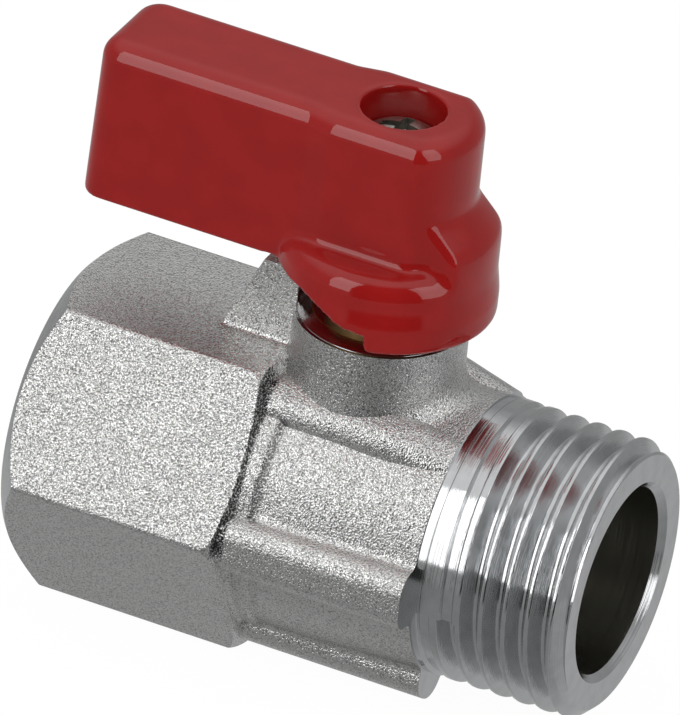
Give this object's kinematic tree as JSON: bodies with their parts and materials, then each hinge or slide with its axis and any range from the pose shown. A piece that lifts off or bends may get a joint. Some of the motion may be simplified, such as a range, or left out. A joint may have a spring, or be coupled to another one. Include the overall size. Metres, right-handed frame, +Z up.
{
  "type": "mini lever ball valve",
  "caption": "Compact isolating ball valve with a hexagon female end, a male thread and a short red quarter-turn lever.",
  "frame": {"origin": "centre of the female mouth, on the waterway axis", "axes": "+X along the waterway from the female mouth to the male end, +Z up along the stem to the lever's top, +Y across the waterway so that the frame is right-handed; the lever lies over the female end, which is the open position"},
  "size_m": [0.0444, 0.0268, 0.0444],
  "materials": {
    "plated_body": "chrome plate over a blasted forging, bright where it is turned",
    "plated_ball": "polished chrome plate",
    "brass": "turned",
    "seat_plastic": "white, machined",
    "seal_rubber": "black, moulded",
    "red_lacquer": "glossy red lacquer on die-cast metal",
    "screw_steel": "zinc plated"
  },
  "bodies": {
    "body": {"valve_body": "plated_body", "seat_retainer": "brass", "inlet_seat": "seat_plastic", "outlet_seat": "seat_plastic"},
    "lever": {"handle": "red_lacquer", "handle_screw": "screw_steel", "stem": "brass", "ball": "plated_ball", "thrust_washer": "seat_plastic", "lower_stem_seal": "seal_rubber", "upper_stem_seal": "seal_rubber"}
  },
  "joints": [
    {"name": "lever_turn", "type": "hinge", "parent": "body", "child": "lever", "pos_m": [0.0236, 0, 0], "axis": [0, 0, 1], "range_deg": [-90, 0]}
  ]
}
